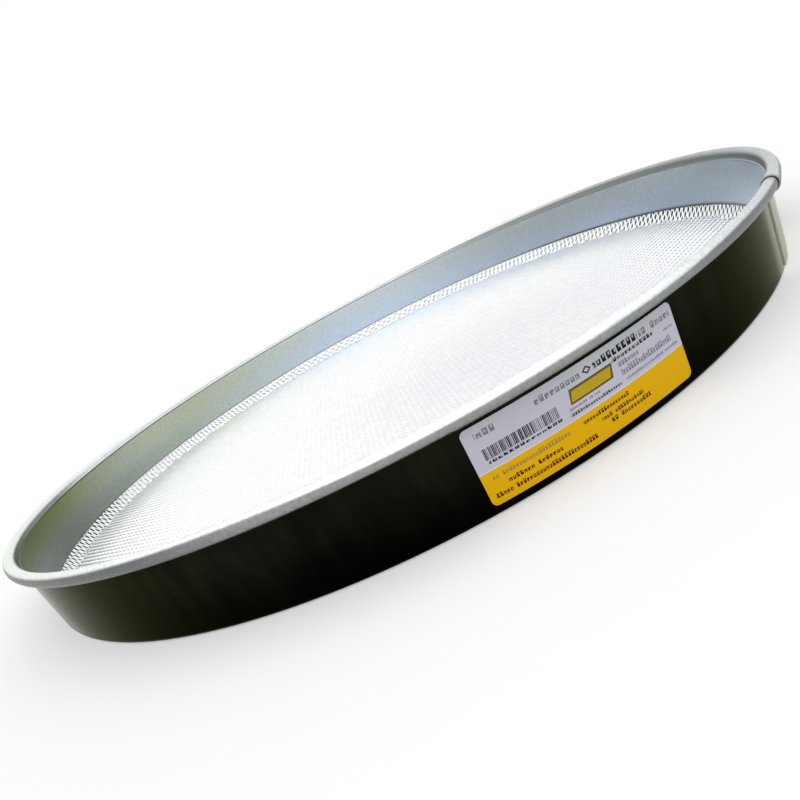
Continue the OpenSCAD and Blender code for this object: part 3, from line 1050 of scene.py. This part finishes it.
class SIEVE_OT_screen(bpy.types.Operator):
    """Builds the expanded-metal screen, pressed up into the corner at its border"""

    bl_idname = "sieve.screen"
    bl_label = "Expanded-metal screen"

    def execute(self, context):
        screen = context.scene.sieve_screen
        height, route = self.border_route(context.scene.sieve_hoop, screen)
        bm = self.flat_net(screen, sum(run for run, _ in route))
        self.press(bm, screen, height, route)
        bmesh.ops.recalc_face_normals(bm, faces=bm.faces[:])
        middle = min(bm.faces, key=lambda f: f.calc_center_median().length)
        if middle.normal.z < 0:
            bmesh.ops.reverse_faces(bm, faces=bm.faces[:])
        metal = expanded_zinc("screen_zinc", screen.metal)
        for name, side in (("screen_left", -1), ("screen_right", 1)):
            half = bm.copy()
            other = [f for f in half.faces
                     if (f.calc_center_median().x + TOUCH < 0) != (side < 0)]
            bmesh.ops.delete(half, geom=other, context="FACES")
            piece = new_piece(half, name, (metal,), ["mesh_screen"])
            thicken(piece, screen.sheet, crease=SCREEN_CREASE)
        bm.free()
        return {"FINISHED"}

    def border_route(self, hoop, screen):
        """The flat net's height and its section from there up the border, as runs and turns."""
        height = screen.lip_top + screen.rise + screen.sheet / 2
        steep = math.pi / 2 - math.atan(wall_radius(hoop, 1) - wall_radius(hoop, 0))
        corner_out = wall_radius(hoop, screen.border_top) - screen.behind
        slope = screen.border_slope
        rise = screen.border_top - height
        first_cut = screen.corner_radius * math.tan(slope / 2)
        second = steep - slope
        second_cut = screen.top_radius * math.tan(second / 2)
        flat = corner_out - rise / math.tan(slope) - first_cut
        upright = SCREEN_TOP - screen.border_top - second_cut
        return height, [
            (flat, 0.0),
            (screen.corner_radius * slope, slope),
            (rise / math.sin(slope) - first_cut - second_cut, 0.0),
            (screen.top_radius * second, second),
            (upright / math.sin(steep), 0.0),
        ]

    def flat_net(self, screen, blank):
        """The net, flat, out to its blank radius: every strand leans the same way."""
        long_way, short_way = screen.long_way, screen.short_way
        x, y = screen.bond / 2, screen.strand
        far_x, far_y = long_way / 2 - x, short_way / 2
        rise = screen.rise
        bm = bmesh.new()
        for at in (Vector((0, 0, 0)), Vector((long_way / 2, short_way / 2, 0))):
            low, middle, high = [
                [bm.verts.new(at + Vector((way * x, level * y, level * rise))) for way in (-1, 1)]
                for level in (-1, 0, 1)]
            bm.faces.new((*low, *middle[::-1]))
            bm.faces.new((*middle, *high[::-1]))
            for way, near, near_high in zip((-1, 1), middle, high):
                far_low = bm.verts.new(at + Vector((way * far_x, far_y - y, -rise)))
                far = bm.verts.new(at + Vector((way * far_x, far_y, 0)))
                bm.faces.new((near, far_low, far, near_high)[::way])
        columns, rows = math.ceil(blank / long_way), math.ceil(blank / short_way)
        for step, count in (((long_way, 0, 0), columns), ((0, short_way, 0), rows)):
            bmesh.ops.translate(bm, verts=bm.verts[:], vec=-count * Vector(step))
            bmesh.ops.spin(
                bm, geom=bm.verts[:] + bm.edges[:] + bm.faces[:], cent=(0, 0, 0),
                axis=(0, 0, 1), dvec=step, angle=0, steps=2 * count, use_duplicate=True)
            bmesh.ops.remove_doubles(bm, verts=bm.verts[:], dist=TOUCH)
        outside = [f for f in bm.faces if f.calc_center_median().to_2d().length > blank]
        bmesh.ops.delete(bm, geom=outside, context="FACES")
        return bm

    def press(self, bm, screen, flat_height, route):
        """Presses the flat net into its dish, and flattens it where the bands pinch it."""
        upright_from = sum(run for run, _ in route[:-1])
        for vert in bm.verts:
            out = vert.co.to_2d().length
            above = vert.co.z
            if out < MERGE:
                vert.co.z = flat_height + above
                continue
            above *= 1 - (1 - screen.pressed) * smooth(route[0][0], upright_from, out)
            to_go, heading, radius, height = out, 0.0, 0.0, flat_height
            for run, bent in route:
                part = min(to_go, run)
                if bent:
                    round_r = run / bent
                    after = heading + part / round_r
                    radius += round_r * (math.sin(after) - math.sin(heading))
                    height += round_r * (math.cos(heading) - math.cos(after))
                    heading = after
                else:
                    radius += part * math.cos(heading)
                    height += part * math.sin(heading)
                to_go -= part
                if to_go <= 0:
                    break
            radius -= above * math.sin(heading)
            height += above * math.cos(heading)
            vert.co = Vector((vert.co.x * radius / out, vert.co.y * radius / out, height))


# The label: the steps of its round corners and along it
CORNER_STEPS, LABEL_COLUMNS = 6, 50


class SIEVE_OT_label(bpy.types.Operator):
    """Builds the label, curved to the wall, with its print map"""

    bl_idname = "sieve.label"
    bl_label = "Label"

    def execute(self, context):
        hoop, label = context.scene.sieve_hoop, context.scene.sieve_label
        low, tall = LABEL_LOW.z, LABEL_HIGH.z - LABEL_LOW.z
        middle_radius = wall_radius(hoop, low + tall / 2)
        bm = bmesh.new()
        bmesh.ops.create_grid(bm, x_segments=1, y_segments=1, size=0.5)
        bmesh.ops.scale(bm, verts=bm.verts[:], vec=(label.width, tall, 1))
        bmesh.ops.bevel(bm, geom=bm.verts[:], offset=label.corner, offset_type="OFFSET",
                        segments=CORNER_STEPS, profile=0.5, material=-1, affect="VERTICES")
        for cut in range(1, LABEL_COLUMNS):
            x = label.width * (cut / LABEL_COLUMNS - 0.5)
            bmesh.ops.bisect_plane(bm, geom=bm.verts[:] + bm.edges[:] + bm.faces[:],
                                   dist=MERGE, plane_co=(x, 0, 0), plane_no=(1, 0, 0))
        prints = bm.loops.layers.uv.new("print")
        for face in bm.faces:
            for loop in face.loops:
                at = loop.vert.co
                loop[prints].uv = (at.x / label.width + 0.5, at.y / tall + 0.5)
        for vert in bm.verts:
            at = label.direction + vert.co.x / middle_radius
            z = low + tall / 2 + vert.co.y
            radius = wall_radius(hoop, z) + label.glue
            vert.co = Vector((radius * math.cos(at), radius * math.sin(at), z))
        face_out(bm, low + tall / 2)
        film = label_film("label_film", label)
        piece = new_piece(bm, "label_print", (film,), ["label"])
        thicken(piece, label.film, offset=1.0)
        return {"FINISHED"}


# The stage: the floor lies a hair below the foot, and the sensor is in millimetres
FLOOR_SQUARES, FLOOR_DROP = 8, 0.0001
SENSOR_WIDTH, NEAREST, FARTHEST = 36.0, 0.01, 100.0
WHITE = (1, 1, 1, 1)


class SIEVE_OT_stage(bpy.types.Operator):
    """Sets the floor, the soft light and the camera at the photograph's angle"""

    bl_idname = "sieve.stage"
    bl_label = "Stage"

    def execute(self, context):
        stage = context.scene.sieve_stage
        self.floor(stage)
        self.world(context.scene, stage)
        self.lamp(stage)
        self.camera(context.scene, stage)
        context.scene.view_settings.view_transform = "Standard"
        return {"FINISHED"}

    def floor(self, stage):
        """Lays the floor."""
        bm = bmesh.new()
        bmesh.ops.create_grid(bm, x_segments=FLOOR_SQUARES, y_segments=FLOOR_SQUARES,
                              size=stage.floor_size / 2)
        bmesh.ops.translate(bm, verts=bm.verts[:], vec=(0, 0, -FLOOR_DROP))
        ground = mesh_object(bm, "pale_floor", (pale_floor("pale_floor", stage),))

    def world(self, scene, stage):
        """Gives even light from all round, and a white room to look at."""
        world = bpy.data.worlds.new("studio")
        scene.world = world
        world.use_nodes = True
        tree = world.node_tree
        tree.nodes.clear()
        even = add(tree, "Background", {0: WHITE, 1: stage.room_light})
        white = add(tree, "Background", {0: WHITE, 1: 1.0})
        mixed = add(tree, "MixShader", {
            0: directly_seen(tree), 1: even.outputs[0], 2: white.outputs[0]})
        add(tree, "OutputWorld", {"Surface": mixed.outputs[0]})

    def lamp(self, stage):
        """Hangs the wide key light."""
        light = bpy.data.lights.new("key_light", "SUN")
        light.angle = stage.key_spread
        light.energy = stage.key_light
        lamp = new_object("key_light", light)
        level = math.cos(stage.key_height)
        lamp.location = (level * math.cos(stage.key_side), level * math.sin(stage.key_side),
                         math.sin(stage.key_height))
        lamp.rotation_euler = lamp.location.to_track_quat("Z", "Y").to_euler()

    def camera(self, scene, stage):
        """Sets up the camera, aimed at the middle of the foot and then turned."""
        shot = bpy.data.cameras.new("camera")
        shot.lens = stage.lens
        shot.sensor_width = SENSOR_WIDTH
        shot.clip_start, shot.clip_end = NEAREST, FARTHEST
        camera = new_object("camera", shot)
        camera.location = (0, -stage.distance * math.cos(stage.elevation),
                           stage.distance * math.sin(stage.elevation))
        ahead = -camera.location
        camera.rotation_mode = "QUATERNION"
        camera.rotation_quaternion = (
            ahead.to_track_quat("-Z", "Y")
            @ Quaternion((0, 1, 0), stage.yaw)
            @ Quaternion((1, 0, 0), stage.pitch)
            @ Quaternion((0, 0, 1), -stage.roll))
        scene.camera = camera


# Panel and registration


class SIEVE_PT_panel(bpy.types.Panel):
    """Lists the sieve's pieces and their sizes"""

    bl_idname = "SIEVE_PT_panel"
    bl_label = "Round sieve"
    bl_space_type = "VIEW_3D"
    bl_region_type = "UI"
    bl_category = "Sieve"

    def draw(self, context):
        for step in STEPS:
            box = self.layout.box()
            box.operator(step.bl_idname)
            group = step.bl_idname.replace(".", "_")
            if group in GROUPS:
                for name in GROUPS[group].__annotations__:
                    box.prop(getattr(context.scene, group), name)


STEPS = (SIEVE_OT_hoop, SIEVE_OT_wire, SIEVE_OT_band, SIEVE_OT_screen, SIEVE_OT_label,
         SIEVE_OT_stage)
# What the scene calls each operator's property group: sieve_hoop for sieve.hoop
GROUPS = {
    "sieve_hoop": SieveHoopSizes, "sieve_band": SieveBandSizes,
    "sieve_screen": SieveScreenSizes, "sieve_label": SieveLabelSizes,
    "sieve_stage": SieveStageSizes,
}
SHADER_GROUPS = (make_rolled_grain, make_mottle, make_print_block, make_dashes)


def register():
    """Makes the operators, the panel and the scene's sizes known to Blender."""
    for cls in (*GROUPS.values(), *STEPS, SIEVE_PT_panel):
        bpy.utils.register_class(cls)
    for name, cls in GROUPS.items():
        setattr(bpy.types.Scene, name, PointerProperty(type=cls))


def unregister():
    """Takes them away again."""
    for name in GROUPS:
        delattr(bpy.types.Scene, name)
    for cls in reversed((*GROUPS.values(), *STEPS, SIEVE_PT_panel)):
        bpy.utils.unregister_class(cls)


def main():
    """Builds the sieve and its stage."""
    register()
    for make in SHADER_GROUPS:
        make()
    bpy.ops.sieve.hoop()
    bpy.ops.sieve.wire()
    bpy.ops.sieve.band()
    bpy.ops.sieve.screen()
    bpy.ops.sieve.label()
    bpy.ops.sieve.stage()


if __name__ == "__main__":
    main()
